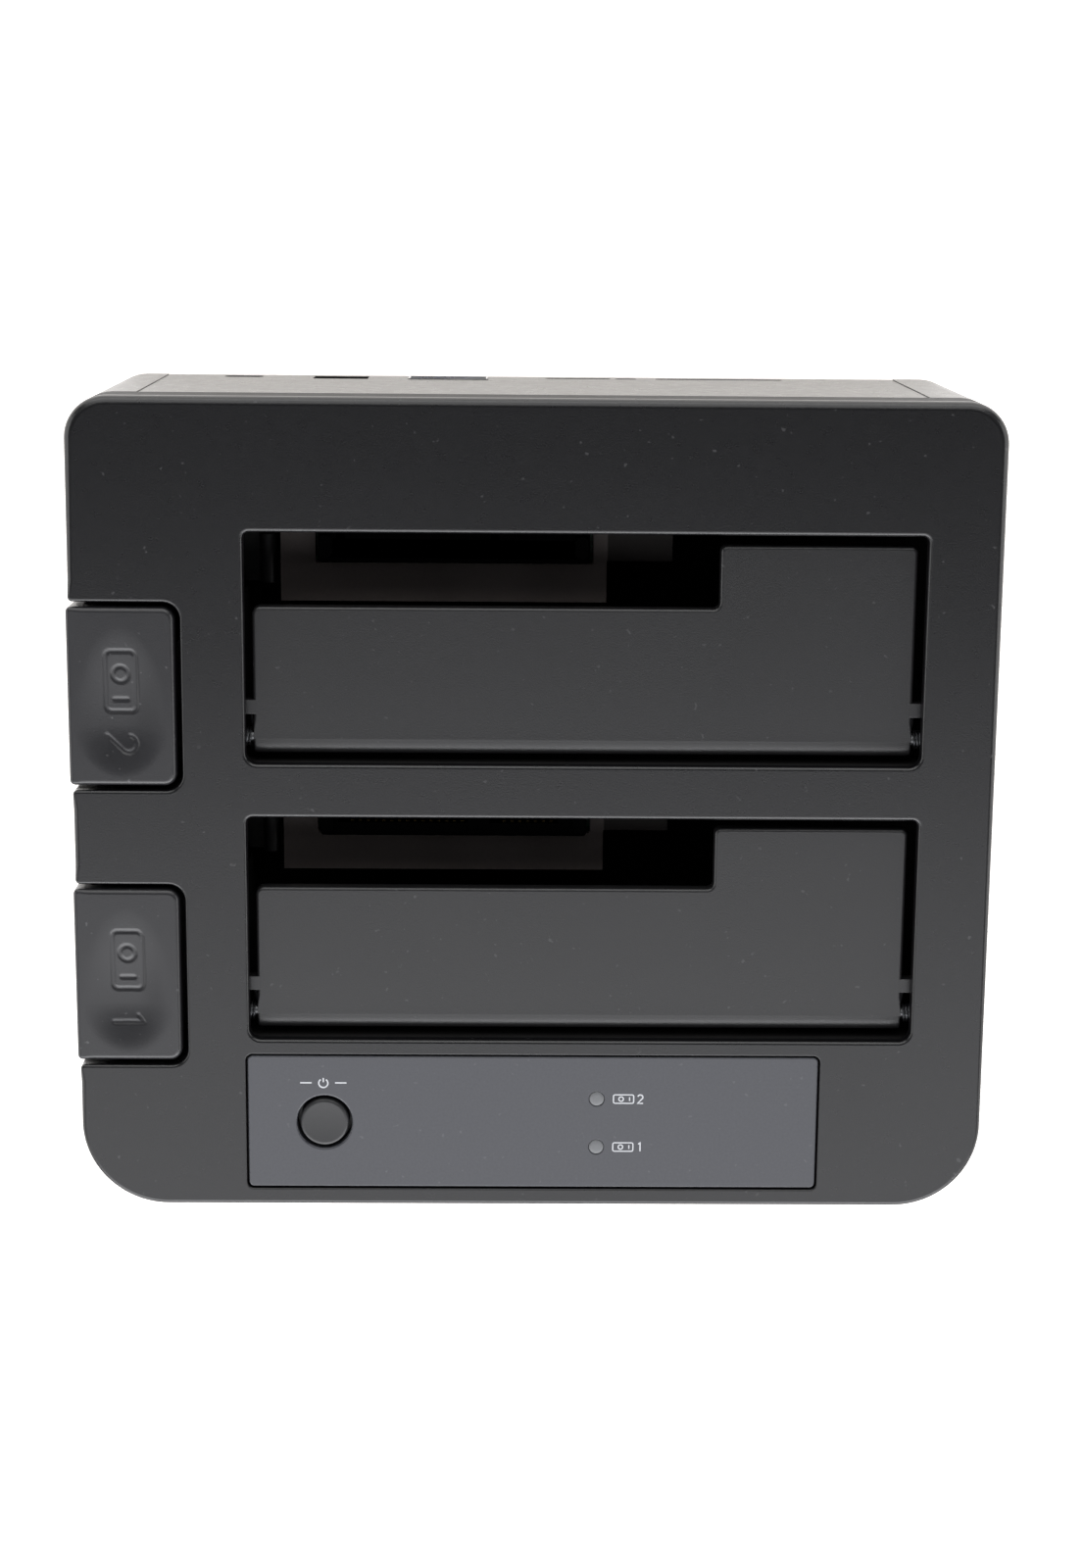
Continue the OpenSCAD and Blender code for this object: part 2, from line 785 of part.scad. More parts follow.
module eject_springs_rear() {
    eject_springs(0);
}

module eject_springs_front() {
    eject_springs(1);
}

module eject_lever(i) {
    color("#3a3c41")
    at_slot(i) difference() {
        union() {
            // arm under the button's leg
            span([-66, leg_y - arm_w / 2, pivot_z - 1.2], [pivot_x, leg_y + arm_w / 2, pivot_z + 1.2]);
            // barrel on the pin
            translate([pivot_x, nose_y + nose_w / 2, pivot_z]) rotate([90, 0, 0])
                cylinder(r = 3, h = nose_y + nose_w / 2 - leg_y + arm_w / 2);
            // arm and pad that lift the drive
            span([pivot_x, nose_y - nose_w / 2, pivot_z - 1.2],
                 [-41.4, nose_y + nose_w / 2, pivot_z + 1.2]);
            span([-44, nose_y - nose_w / 2, pivot_z], [-41.4, nose_y + nose_w / 2, 29.7]);
            translate([-42.7, nose_y + nose_w / 2, 29.7]) rotate([90, 0, 0]) cylinder(r = 1.3, h = nose_w);
        }
        translate([pivot_x, 1, pivot_z]) rotate([90, 0, 0]) cylinder(r = pivot_r + fit, h = 40);
    }
}

module eject_lever_rear() {
    eject_lever(0);
}

module eject_lever_front() {
    eject_lever(1);
}

module lever_pins() {
    color("#b4b7bc")
    for (i = [0, 1])
        at_slot(i) translate([pivot_x, nose_y + nose_w / 2 + 2.6, pivot_z]) rotate([90, 0, 0])
            cylinder(r = pivot_r, h = nose_y + nose_w / 2 - leg_y + arm_w / 2 + 5.2);
}

// ---------- control panel ----------

module control_panel() {
    color("#55565f")
    difference() {
        translate([panel_x, panel_y, panel_top - panel_t])
            linear_extrude(panel_t) round_rect(panel_w, panel_d, 0.8);
        translate([power_x, power_y, 45]) cylinder(r = power_r + 0.55, h = 12);
        for (y = led_ys)
            translate([led_x, y, 45]) cylinder(r = 1.25, h = 12);
    }
}

module power_button() {
    color("#3b3d43")
    translate([power_x, power_y, 0]) {
        translate([0, 0, face_z - 0.5]) cylinder(r1 = power_r, r2 = power_r - 0.4, h = 0.5);
        translate([0, 0, 50]) cylinder(r = power_r, h = face_z - 50.5 + eps);
        translate([0, 0, 49.6]) cylinder(r = 5.2, h = 0.7);
        translate([0, 0, switch_top + power_travel + 0.05]) cylinder(r = 1.4, h = 1);
    }
}

module front_board() {
    color("#1f4a34")
    difference() {
        span([-44, -58, front_board_z], [22, -42, front_board_z + board_t]);
        for (x = front_screw_x)
            translate([x, panel_y, 0]) cylinder(r = 1.2, h = 60);
    }
}

module front_board_screws() {
    color("#a6a9ae")
    for (x = front_screw_x)
        translate([x, panel_y, front_board_z - 1.2]) screw(1.9, 1.2, 0.88, 5.6);
}

module power_switch() {
    color("#1a1b1d")
    translate([power_x, power_y, front_board_z + board_t]) {
        linear_extrude(2) round_rect(6, 6, 0.4);
        translate([0, 0, 2 - eps]) cylinder(r = 1.7, h = 0.3);
    }
}

module status_leds() {
    color("#e8ebef")
    for (y = led_ys)
        translate([led_x, y, front_board_z + board_t]) {
            linear_extrude(1.6) square(2.6, center = true);
            translate([0, 0, 1.6 - eps]) cylinder(r = 1, h = 0.5);
        }
}

module light_pipes() {
    color("#aeb2b8")
    for (y = led_ys)
        translate([led_x, y, front_board_z + board_t + 2.3]) {
            cylinder(r = 1.2, h = panel_top - front_board_z - board_t - 2.3);
            cylinder(r = 1.9, h = 2);
        }
}

// flat cable from the front board, down and under the front well to the main board
module panel_ribbon() {
    color("#d8d9d4")
    translate([-20, 0, 0]) {
        span([-4, -44.5, 11], [4, -44.1, front_board_z]);
        span([-4, -44.5, 11], [4, -14, 11.4]);
        span([-4.6, -17, board_z + board_t], [4.6, -13, 11.4]);
    }
}

// ---------- assembly ----------

top_cover();
lower_case();
rear_panel();
rubber_feet();
case_screws();
drive_well_rear();
drive_well_front();
dock_platform_rear();
dock_platform_front();
button_bracket_rear();
button_bracket_front();
standoffs();
well_screws();
flap_rear();
flap_front();
flap_pins();
flap_springs_rear();
flap_springs_front();
sata_receptacle_rear();
sata_receptacle_front();
sata_contacts();
dock_board_rear();
dock_board_front();
riser_headers();
main_board();
board_screws();
controller_chips();
capacitors();
power_coils();
dc_jack();
dc_jack_pin();
usb_shell();
usb_tongue();
eject_button_rear();
eject_button_front();
eject_springs_rear();
eject_springs_front();
eject_lever_rear();
eject_lever_front();
lever_pins();
control_panel();
power_button();
power_switch();
front_board();
front_board_screws();
status_leds();
light_pipes();
panel_ribbon();
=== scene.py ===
import json
import math

import bmesh
import bpy
from mathutils import Matrix, Vector
from mathutils.geometry import delaunay_2d_cdt, tessellate_polygon


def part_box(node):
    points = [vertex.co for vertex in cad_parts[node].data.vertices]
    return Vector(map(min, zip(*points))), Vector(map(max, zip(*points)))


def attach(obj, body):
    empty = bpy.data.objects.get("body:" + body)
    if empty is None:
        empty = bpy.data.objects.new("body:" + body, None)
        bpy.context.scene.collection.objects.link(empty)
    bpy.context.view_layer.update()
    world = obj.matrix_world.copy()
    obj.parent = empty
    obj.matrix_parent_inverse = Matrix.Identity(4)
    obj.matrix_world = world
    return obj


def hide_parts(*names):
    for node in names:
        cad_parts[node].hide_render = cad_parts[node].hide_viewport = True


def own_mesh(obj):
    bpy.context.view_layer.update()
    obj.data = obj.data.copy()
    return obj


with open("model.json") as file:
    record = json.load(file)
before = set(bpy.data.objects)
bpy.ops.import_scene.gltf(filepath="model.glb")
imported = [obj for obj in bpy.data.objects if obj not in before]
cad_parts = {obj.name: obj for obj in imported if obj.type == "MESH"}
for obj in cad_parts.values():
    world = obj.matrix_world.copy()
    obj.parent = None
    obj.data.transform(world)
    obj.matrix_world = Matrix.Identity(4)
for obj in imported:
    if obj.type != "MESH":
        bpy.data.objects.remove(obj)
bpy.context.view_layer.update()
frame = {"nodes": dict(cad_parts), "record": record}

MM = 0.001
FULL_TURN = 2 * math.pi
NODES = frame["nodes"]

# ---------------------------------------------------------------- design values, mm
TOP_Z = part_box("top_cover")[1].z / MM
SEAM_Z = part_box("lower_case")[1].z / MM
SIDE_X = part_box("top_cover")[1].x / MM
REAR_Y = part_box("top_cover")[1].y / MM
DECK_UNDER = TOP_Z - 2.0
FRONT_R, REAR_R = 13.5, 6.5  # the case's upright corners
WALL, THIN_WALL = 2.2, 0.9  # the cover's walls, and those round the button notches

SLOT_X0, SLOT_X1 = -44.5, 59.5
SLOT_D = 35.8
SLOT_FRONT_R, SLOT_REAR_R = 1.8, 0.95
SLOT_EDGES = {"rear": 43.5, "front": -0.7}  # y of each slot's rear edge

FLAP_X0, FLAP_X1 = -43.4, 58.2
FLAP_T = 2.2
HINGE_BACK, MAIN_BACK, TAB_BACK = 32.2, 11.6, 1.8  # the pin and the two free edges, from the slot's rear edge
TAB_W = 30.1
BARREL_R = 2.3
PIN_BORE_R = 1.05
FLAP_EDGE = 0.5

BUTTON_Y = -25.4  # a button's middle, from its slot's rear edge
BUTTON_X1 = -55.1
BUTTON_MID_X = -63.4
BUTTON_HALF = 13.85
BUTTON_T = 3.0
SKIRT_H, SKIRT_T = 14.0, 2.4
NOTCH_HALF = 14.65
NOTCH_X = -54.2
NOTCH_R = 2.6
POST_X, POST_DY = -62.2, 9.5  # the button's two guide posts

PANEL_X, PANEL_Y, PANEL_W, PANEL_D = 0.1, -50.0, 90.0, 21.7
POWER_XY = (-32.84, -50.1)
POWER_R = 3.85
LED_X = 10.2
LED_YS = (-46.1, -54.1)
CASE_SCREWS = ((-63.2, 55.2), (63.6, 55.2), (-60.5, -50.5), (60.5, -50.5))

SUPPORT = 0.06  # width of the flat strip that keeps a rounded edge's shading off the flat beside it
TUCK = 0.01  # how far a part stops short of the face it meets inside one piece


# ---------------------------------------------------------------- outlines
def corner_arc(p, a, b, r):
    """Points of the arc of radius r that rounds the corner p between neighbours a and b."""
    u, v = (a - p).normalized(), (b - p).normalized()
    half = math.acos(max(-1.0, min(1.0, u.dot(v)))) / 2
    reach = r / math.tan(half)
    centre = p + (u + v).normalized() * (r / math.sin(half))
    start, end = p + u * reach, p + v * reach
    a0 = math.atan2(start.y - centre.y, start.x - centre.x)
    a1 = math.atan2(end.y - centre.y, end.x - centre.x)
    turn = (a1 - a0 + math.pi) % FULL_TURN - math.pi
    steps = max(3, int(abs(turn) * (3 + 1.4 * r)))
    angles = [a0 + turn * k / steps for k in range(steps + 1)]
    return [centre + Vector((math.cos(t), math.sin(t))) * r for t in angles]


def outline(corners):
    """A closed outline from (x, y, corner radius, edge radius): its points and their edge radii."""
    pts, edge = [], []
    n = len(corners)
    for i, (x, y, r, e) in enumerate(corners):
        new = [Vector((x, y))]
        if r > 0:
            new = corner_arc(new[0], Vector(corners[i - 1][:2]), Vector(corners[(i + 1) % n][:2]), r)
        pts += new
        edge += [e] * len(new)
    return pts, edge


def box_outline(x0, y0, x1, y1, r, e):
    return outline([(x0, y0, r, e), (x1, y0, r, e), (x1, y1, r, e), (x0, y1, r, e)])


def centred_box(x, y, half_x, half_y, r, e):
    return box_outline(x - half_x, y - half_y, x + half_x, y + half_y, r, e)


def circle_outline(x, y, r, e, n=48):
    angles = [FULL_TURN * k / n for k in range(n)]
    return [Vector((x + r * math.cos(t), y + r * math.sin(t))) for t in angles], [e] * n


def hole(shape):
    """The same outline run the other way round, so that its left side is the material."""
    return shape[0][::-1], shape[1][::-1]


def inset(pts, dist):
    """pts moved to their left by dist, one number or one for each point."""
    out = []
    n = len(pts)
    for i in range(n):
        a, b = (pts[i] - pts[i - 1]).normalized(), (pts[(i + 1) % n] - pts[i]).normalized()
        na, nb = Vector((-a.y, a.x)), Vector((-b.y, b.x))
        d = dist[i] if isinstance(dist, list) else dist
        out.append(pts[i] + (na + nb) / max(0.3, 1 + na.dot(nb)) * d)
    return out


# ---------------------------------------------------------------- mesh building
class Build:
    """A mesh given in millimetres and made of rings of points."""

    def __init__(self):
        self.bm = bmesh.new()

    def vert(self, x, y, z):
        return self.bm.verts.new((x * MM, y * MM, z * MM))

    def ring(self, pts, z):
        zs = z if isinstance(z, list) else [z] * len(pts)
        return [self.vert(p[0], p[1], zz) for p, zz in zip(pts, zs)]

    def face(self, verts):
        """A face from these corners, unless too few of them differ or it is there already."""
        keep = list(dict.fromkeys(verts))
        if len(keep) > 2:
            try:
                self.bm.faces.new(keep)
            except ValueError:
                pass

    def bridge(self, a, b):
        n = len(a)
        for i in range(n):
            j = (i + 1) % n
            self.face([a[i], a[j], b[j], b[i]])

    def bridge_all(self, rings):
        for a, b in zip(rings, rings[1:]):
            self.bridge(a, b)

    def fill(self, rings):
        flat = [v for r in rings for v in r]
        for tri in tessellate_polygon([[v.co.copy() for v in r] for r in rings]):
            self.face([flat[k] for k in tri])

    def soft_edge(self, shape, z, steps=4):
        """Rounds the top edge at height z. Returns its first ring, on the wall, and its last, on the flat."""
        pts, edge = shape
        profile = [(0.0, -1.0, -SUPPORT)]
        for k in range(steps + 1):
            t = math.pi / 2 * k / steps
            profile.append((1 - math.cos(t), math.sin(t) - 1, 0.0))
        rings = [self.ring(inset(pts, [e * a for e in edge]), [z + e * b + c for e in edge])
                 for a, b, c in profile]
        rings.append(self.ring(inset(pts, [e + SUPPORT for e in edge]), z))
        self.bridge_all(rings)
        return rings[0], rings[-1]

    def slab(self, outer, holes, z0, z1, low_edge=0.0):
        """A plate from z0 to z1 with rounded top edges. low_edge rounds its lower edges too."""
        tops, lows = [], []
        for shape in [outer] + [hole(h) for h in holes]:
            last, flat = self.soft_edge(shape, z1)
            tops.append(flat)
            angles = [math.pi / 2 * k / 2 for k in range(3)] if low_edge > 0 else [math.pi / 2]
            for t in angles:
                pts = inset(shape[0], low_edge * (1 - math.cos(t))) if low_edge > 0 else shape[0]
                new = self.ring(pts, z0 + low_edge * (1 - math.sin(t)))
                self.bridge(last, new)
                last = new
            lows.append(last)
        self.fill(tops)
        self.fill(lows)

    def turned(self, x, y, profile, n=48):
        """A closed upright solid of revolution: profile is (radius, z) from one end to the other."""
        rings = []
        for r, z in profile:
            if r <= 1e-6:
                rings.append([self.vert(x, y, z)] * n)
            else:
                angles = [FULL_TURN * k / n for k in range(n)]
                rings.append([self.vert(x + r * math.cos(t), y + r * math.sin(t), z) for t in angles])
        self.bridge_all(rings)
        for r in (rings[0], rings[-1]):
            self.face(r)

    def done(self, name, body, slot, replaces=(), material=None, sharp=38.0):
        """Makes the piece. Its material is the slot's own unless another is named."""
        bmesh.ops.remove_doubles(self.bm, verts=self.bm.verts, dist=1e-7)
        bmesh.ops.recalc_face_normals(self.bm, faces=self.bm.faces)
        obj = new_object(name, self.bm, MATERIALS[material or slot])
        obj.data.set_sharp_from_angle(angle=math.radians(sharp))
        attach(obj, body)
        if replaces:
            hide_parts(*replaces)
        return obj


def new_object(name, bm, material):
    """A smooth-shaded object of this mesh, which is freed."""
    mesh = bpy.data.meshes.new(name)
    bm.to_mesh(mesh)
    bm.free()
    mesh.polygons.foreach_set("use_smooth", [True] * len(mesh.polygons))
    mesh.materials.clear()
    mesh.materials.append(material)
    obj = bpy.data.objects.new(name, mesh)
    bpy.context.scene.collection.objects.link(obj)
    return obj


def bake(obj):
    """Replaces the object's mesh with the result of its modifiers."""
    bpy.context.view_layer.update()
    graph = bpy.context.evaluated_depsgraph_get()
    baked = bpy.data.meshes.new_from_object(obj.evaluated_get(graph), preserve_all_data_layers=True,
                                            depsgraph=graph)
    obj.modifiers.clear()
    baked.name = obj.data.name
    obj.data = baked


def eased_copy(node, name, body, slot, width, segments=2, widen=0.0):
    """A copy of a CAD node with its edges rounded. widen moves both its ends outwards, to close a gap."""
    bm = bmesh.new()
    bm.from_mesh(NODES[node].data)
    bmesh.ops.remove_doubles(bm, verts=bm.verts, dist=2e-6)
    bmesh.ops.dissolve_limit(bm, angle_limit=math.radians(0.6), verts=bm.verts, edges=bm.edges)
    if widen:
        end = 1.5 * MM
        left, right = min(v.co.x for v in bm.verts), max(v.co.x for v in bm.verts)
        for v in bm.verts:
            if v.co.x < left + end:
                v.co.x -= widen * MM
            elif v.co.x > right - end:
                v.co.x += widen * MM
    obj = new_object(name, bm, MATERIALS[slot])
    mod = obj.modifiers.new("edges", "BEVEL")
    mod.width = width * MM
    mod.segments = segments
    mod.limit_method = "ANGLE"
    mod.angle_limit = math.radians(32.0)
    mod.use_clamp_overlap = True
    mod.harden_normals = True
    mod.miter_outer = "MITER_ARC"
    bake(obj)
    bm = bmesh.new()
    bm.from_mesh(obj.data)
    bmesh.ops.dissolve_degenerate(bm, dist=2e-7, edges=bm.edges)
    bm.to_mesh(obj.data)
    bm.free()
    # large flat faces keep their own normal
    mod = obj.modifiers.new("normals", "WEIGHTED_NORMAL")
    mod.keep_sharp = True
    mod.weight = 60
    bake(obj)
    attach(obj, body)
    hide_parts(node)


# ---------------------------------------------------------------- materials
MIX_FACTOR, MIX_A, MIX_B, MIX_RESULT = 0, 6, 7, 2  # the colour sockets of a Mix node


def feed(nt, socket, value):
    """Links the socket when value is another node's output, and sets it otherwise."""
    if isinstance(value, bpy.types.NodeSocket):
        nt.links.new(value, socket)
    elif socket.type == "RGBA":
        socket.default_value = (*value, 1.0)
    else:
        socket.default_value = value


def add(nt, kind, inputs):
    node = nt.nodes.new("ShaderNode" + kind)
    for name, value in inputs.items():
        feed(nt, node.inputs[name], value)
    return node


def tree(name):
    """A material with an empty Principled shader."""
    mat = bpy.data.materials.new(name)
    mat.use_nodes = True
    nt = mat.node_tree
    nt.nodes.clear()
    shader = add(nt, "BsdfPrincipled", {})
    add(nt, "OutputMaterial", {"Surface": shader.outputs["BSDF"]})
    return mat, nt, shader


def coordinates(nt):
    return add(nt, "TexCoord", {}).outputs["Object"]


def along_axis(nt, at, axis):
    return add(nt, "SeparateXYZ", {"Vector": at}).outputs[axis]


def noise(nt, at, scale, detail=2.0, rough=0.5):
    inputs = {"Vector": at, "Scale": scale, "Detail": detail, "Roughness": rough}
    return add(nt, "TexNoise", inputs).outputs["Fac"]


def remap(nt, value, lo, hi, a=0.0, b=1.0):
    inputs = {"Value": value, "From Min": lo, "From Max": hi, "To Min": a, "To Max": b}
    return add(nt, "MapRange", inputs).outputs["Result"]


def mix_colour(nt, fac, a, b):
    node = nt.nodes.new("ShaderNodeMix")
    node.data_type = "RGBA"
    for index, value in ((MIX_FACTOR, fac), (MIX_A, a), (MIX_B, b)):
        feed(nt, node.inputs[index], value)
    return node.outputs[MIX_RESULT]


def bump(nt, height, strength, distance):
    return add(nt, "Bump", {"Height": height, "Strength": strength, "Distance": distance}).outputs["Normal"]


def times(colour, k):
    return tuple(c * k for c in colour)


def plastic(name, colour, rough, grain=4200.0, grain_depth=0.25, specular=0.5, vary=0.12, dust=0.25, coat=0.0,
            soft=1.0, tint=(1, 1, 1), side_z=None, painted_shade_x=None):
    """Moulded plastic: a fine spark texture with painted glints in its grain, faint mottling, and a little
    dust in the grain.
    """
    mat, nt, shader = tree(name)
    at = coordinates(nt)
    cloud = noise(nt, at, 45.0, 3.0)
    mottle = noise(nt, at, 620.0, 3.0, 0.6)
    fine = noise(nt, at, grain, 2.0, 0.6)
    base = mix_colour(nt, remap(nt, cloud, 0.1, 0.9), times(colour, 1 - vary), times(colour, 1 + vary))
    # painted glints: specks of the fine grain are given a lighter colour
    painted_glint = tuple(min(1.0, c * 1.35 + 0.002) for c in colour)
    base = mix_colour(nt, remap(nt, fine, 0.3, 0.75, 0.0, 0.35), base, painted_glint)
    if dust > 0:
        specks = remap(nt, noise(nt, at, 900.0, 1.0), 0.74, 0.80, 0.0, dust)
        base = mix_colour(nt, specks, base, (0.16, 0.16, 0.165))
    if painted_shade_x is not None:
        # painted shade: the colour is darkened to the right of this x
        across = along_axis(nt, at, "X")
        side = remap(nt, across, (painted_shade_x - 0.1) * MM, (painted_shade_x + 0.1) * MM)
        base = mix_colour(nt, side, base, times(colour, 0.22))
    gloss = remap(nt, mottle, 0.1, 0.9, rough - 0.05 * soft, rough + 0.05 * soft)
    if side_z is not None:
        # the walls below the face are a coarser, duller texture
        wall = remap(nt, along_axis(nt, at, "Z"), side_z * MM, (side_z - 0.6) * MM)
        gloss = mix_colour(nt, wall, gloss, (0.55, 0.55, 0.55))
        feed(nt, shader.inputs["Specular IOR Level"], remap(nt, wall, 0, 1, specular, 0.22))
    feed(nt, shader.inputs["Base Color"], base)
    feed(nt, shader.inputs["Roughness"], gloss)
    feed(nt, shader.inputs["Normal"], bump(nt, fine, grain_depth, 0.00006))
    shader.inputs["Specular Tint"].default_value = (*tint, 1.0)
    shader.inputs["Specular IOR Level"].default_value = specular
    if coat > 0:
        shader.inputs["Coat Weight"].default_value = coat
        shader.inputs["Coat Roughness"].default_value = 0.08
    return mat


def metal(name, colour, rough, scale=(300.0, 300.0, 3000.0)):
    """Metal with fine drawing or plating marks."""
    mat, nt, shader = tree(name)
    at = coordinates(nt)
    stretched = add(nt, "Mapping", {"Vector": at, "Scale": scale}).outputs["Vector"]
    lines = noise(nt, stretched, 1.0, 3.0)
    cloud = remap(nt, noise(nt, at, 160.0, 3.0), 0.3, 0.7)
    bright = tuple(min(1, c * 1.1) for c in colour)
    feed(nt, shader.inputs["Base Color"], mix_colour(nt, cloud, times(colour, 0.82), bright))
    feed(nt, shader.inputs["Roughness"], remap(nt, lines, 0.3, 0.7, rough - 0.06, rough + 0.08))
    feed(nt, shader.inputs["Normal"], bump(nt, lines, 0.15, 0.00004))
    shader.inputs["Metallic"].default_value = 1.0
    return mat


def board(name):
    """Solder resist over copper tracks and a grid of small pads."""
    mat, nt, shader = tree(name)
    at = coordinates(nt)
    cells = add(nt, "TexBrick", {"Vector": at, "Scale": 260.0, "Mortar Size": 0.03}).outputs["Fac"]
    dots = add(nt, "TexVoronoi", {"Vector": at, "Scale": 420.0, "Randomness": 0.35}).outputs["Distance"]
    base = mix_colour(nt, cells, (0.008, 0.060, 0.030), (0.014, 0.105, 0.048))
    base = mix_colour(nt, remap(nt, dots, 0.16, 0.10), base, (0.45, 0.40, 0.24))
    feed(nt, shader.inputs["Base Color"], base)
    feed(nt, shader.inputs["Roughness"], remap(nt, noise(nt, at, 300.0), 0.3, 0.7, 0.28, 0.42))
    feed(nt, shader.inputs["Normal"], bump(nt, cells, 0.3, 0.00005))
    return mat


CASE_GREY = (0.0085, 0.0084, 0.0082)
CASE_FINISH = dict(grain_depth=0.1, dust=0.12, tint=(1.0, 0.975, 0.95))
PLASTICS = {
    "cover_plastic": ((0.0032, 0.0032, 0.0038), 0.28, dict(side_z=TOP_Z - 1.4, soft=0.3, dust=0.15)),
    "case_plastic": (CASE_GREY, 0.29, CASE_FINISH),
    "rear_plastic": (CASE_GREY, 0.29, CASE_FINISH),
    "well_plastic": ((0.0045, 0.0043, 0.0044), 0.65, dict(grain_depth=0.12, specular=0.2, dust=0.1)),
    # the platform carries painted shade: its colour is darkened to the right of x = 11.6
    "platform_plastic": ((0.165, 0.143, 0.137), 0.6,
                         dict(grain_depth=0.12, specular=0.25, dust=0.0, painted_shade_x=11.6)),
    "flap_plastic": ((0.0088, 0.0088, 0.0094), 0.31, dict(soft=0.4, dust=0.13)),
    "button_plastic": ((0.0110, 0.0110, 0.0124), 0.33, dict(soft=0.6)),
    "lever_plastic": ((0.010, 0.010, 0.011), 0.6, dict(dust=0.0)),
    "power_plastic": ((0.0125, 0.0128, 0.0136), 0.36, dict(grain_depth=0.15)),
    "panel_gloss": ((0.034, 0.0353, 0.0415), 0.25,
                    dict(grain=2600.0, grain_depth=0.03, vary=0.0, dust=0.15, soft=0.1)),
    "foot_rubber": ((0.013, 0.013, 0.0135), 0.78, dict(grain=1800.0, specular=0.3)),
    # painted shade: near black, darker than the other plastics, for the shade deep in the wells where the
    # receptacles sit; the power inlet shares it
    "connector_plastic": ((0.0008, 0.0008, 0.0009), 0.7, dict(grain_depth=0.08, specular=0.02, dust=0.0)),
    "chip_resin": ((0.012, 0.012, 0.0125), 0.6, dict(grain=3000.0, dust=0.0)),
    "ferrite": ((0.05, 0.05, 0.052), 0.65, dict(grain=2400.0, dust=0.0)),
    "capacitor_sleeve": ((0.025, 0.045, 0.140), 0.25, dict(grain_depth=0.04, dust=0.0, coat=0.4)),
    "blue_insert": ((0.010, 0.018, 0.120), 0.35, dict(grain_depth=0.05, dust=0.0)),
    "light_pipe": ((0.100, 0.103, 0.108), 0.42, dict(grain=2400.0, grain_depth=0.1, vary=0.06, dust=0.0)),
    "led_lens": ((0.75, 0.77, 0.80), 0.22, dict(grain_depth=0.03, dust=0.0)),
    "ribbon_film": ((0.62, 0.62, 0.58), 0.40, dict(grain_depth=0.05, dust=0.0)),
    "print_white": ((0.40, 0.41, 0.43), 0.5, dict(grain=5200.0, grain_depth=0.1, vary=0.05, dust=0.0)),
}
METALS = {
    "screw_steel": ((0.40, 0.41, 0.43), 0.34),
    "bright_steel": ((0.19, 0.195, 0.20), 0.42, (3000.0, 300.0, 300.0)),  # drawn along the pins, in x
    "spring_steel": ((0.17, 0.175, 0.185), 0.42),
    "shell_metal": ((0.62, 0.63, 0.64), 0.30),
    # painted shade: the gold is darkened far below real gold, for the shade inside the receptacles
    "gold_contact": ((0.09, 0.065, 0.028), 0.5),
    "standoff_brass": ((0.60, 0.43, 0.17), 0.32),
}
MATERIALS = {name: plastic(name, colour, rough, **more) for name, (colour, rough, more) in PLASTICS.items()}
MATERIALS.update({name: metal(name, *values) for name, values in METALS.items()})
MATERIALS["circuit_board"] = board("circuit_board")
for subpart in frame["record"]["subparts"]:
    node_mesh = NODES[subpart["node"]].data
    node_mesh.materials.clear()
    node_mesh.materials.append(MATERIALS[subpart["material_slot"]])


# ---------------------------------------------------------------- top cover
def cover_outline():
    front_edge, rear_edge, side_edge, notch_edge = 0.7, 1.3, 0.9, 0.45
    corners = [(-SIDE_X, -REAR_Y, FRONT_R, front_edge), (SIDE_X, -REAR_Y, FRONT_R, front_edge),
               (SIDE_X, REAR_Y, REAR_R, rear_edge), (-SIDE_X, REAR_Y, REAR_R, rear_edge)]
    run, mouth_r = 3.0, 0.7
    for edge in SLOT_EDGES.values():
        y0, y1 = edge + BUTTON_Y - NOTCH_HALF, edge + BUTTON_Y + NOTCH_HALF
        corners += [(-SIDE_X, y1 + run, 0, side_edge), (-SIDE_X, y1, mouth_r, notch_edge),
                    (NOTCH_X, y1, NOTCH_R, notch_edge), (NOTCH_X, y0, NOTCH_R, notch_edge),
                    (-SIDE_X, y0, mouth_r, notch_edge), (-SIDE_X, y0 - run, 0, side_edge)]
    return outline(corners)


def cover_inside():
    """The inner face of the cover's walls, which are thinner round the button notches."""
    x, y, front_r, rear_r = SIDE_X - WALL, REAR_Y - WALL, FRONT_R - WALL, REAR_R - WALL
    corners = [(-x, -y, front_r, 0), (x, -y, front_r, 0), (x, y, rear_r, 0), (-x, y, rear_r, 0)]
    notch_x, notch_r = NOTCH_X + THIN_WALL, NOTCH_R + THIN_WALL
    for edge in SLOT_EDGES.values():
        y0 = edge + BUTTON_Y - NOTCH_HALF - THIN_WALL
        y1 = edge + BUTTON_Y + NOTCH_HALF + THIN_WALL
        corners += [(-x, y1, 0, 0), (notch_x, y1, notch_r, 0), (notch_x, y0, notch_r, 0), (-x, y0, 0, 0)]
    return outline(corners)


def slot_outline(edge):
    front, rear, front_edge, rear_edge = edge - SLOT_D, edge, 0.5, 0.6
    return outline([(SLOT_X0, front, SLOT_FRONT_R, front_edge), (SLOT_X1, front, SLOT_FRONT_R, front_edge),
                    (SLOT_X1, rear, SLOT_REAR_R, rear_edge), (SLOT_X0, rear, SLOT_REAR_R, rear_edge)])


